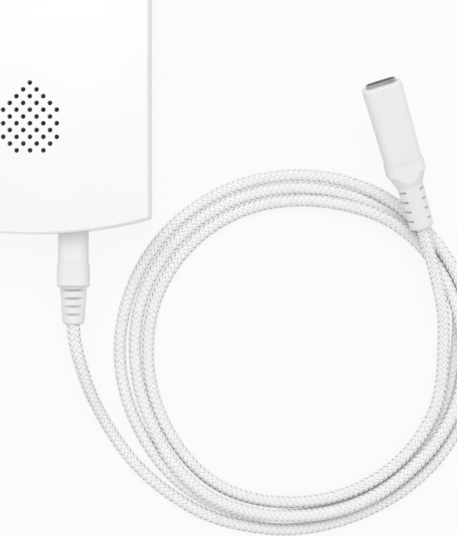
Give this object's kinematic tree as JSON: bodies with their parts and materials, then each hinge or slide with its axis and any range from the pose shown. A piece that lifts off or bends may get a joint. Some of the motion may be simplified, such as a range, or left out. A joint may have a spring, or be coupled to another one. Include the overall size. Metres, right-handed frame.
{
  "type": "water leak sensor",
  "caption": "Battery-powered leak alarm: white domed case with a drop of sound holes, and a coiled white braided sensing cord that plugs in under it and ends in a socket.",
  "frame": {"origin": "on the flat back, under the middle of the case's outline", "axes": "+Z out of the domed front, +Y towards the case's top edge, +X to the right seen from the front; the cord's plug is under the lower edge"},
  "size_m": [0.1621, 0.1741, 0.03],
  "materials": {
    "case_plastic": "fine matt white",
    "cord_braid": "white woven braid",
    "soft_moulding": "satin white soft moulding",
    "connector_metal": "drawn steel shell",
    "screw_steel": "zinc plated",
    "contact_brass": "gold plated",
    "contact_plastic": "ivory insulator",
    "board": "green lacquered board",
    "spring_steel": "nickel plated strip",
    "cell_jacket": "plain dark jacket",
    "siren_black": "black moulded",
    "mesh_dark": "fine dark acoustic mesh",
    "foam": "closed-cell foam"
  },
  "bodies": {
    "root": {"front_shell": "case_plastic", "back_cover": "case_plastic", "battery_door": "case_plastic", "case_screws": "screw_steel", "battery_door_screw": "screw_steel", "battery_cell_left": "cell_jacket", "battery_cell_right": "cell_jacket", "battery_contact_plus": "spring_steel", "battery_contact_minus": "spring_steel", "battery_bridge": "spring_steel", "main_board": "board", "board_screws": "screw_steel", "radio_shield": "spring_steel", "antenna": "contact_brass", "siren": "siren_black", "siren_gasket": "foam", "sound_mesh": "mesh_dark", "inlet_shell": "connector_metal", "inlet_tongue": "contact_plastic", "plug_sleeve": "soft_moulding", "plug_strain_relief": "soft_moulding", "plug_shell": "connector_metal", "socket_sleeve": "soft_moulding", "socket_strain_relief": "soft_moulding", "socket_shell": "connector_metal", "socket_tongue": "contact_plastic", "socket_contacts": "contact_brass", "sensor_cord": "cord_braid", "sensor_cord_coil": "cord_braid"}
  },
  "joints": []
}
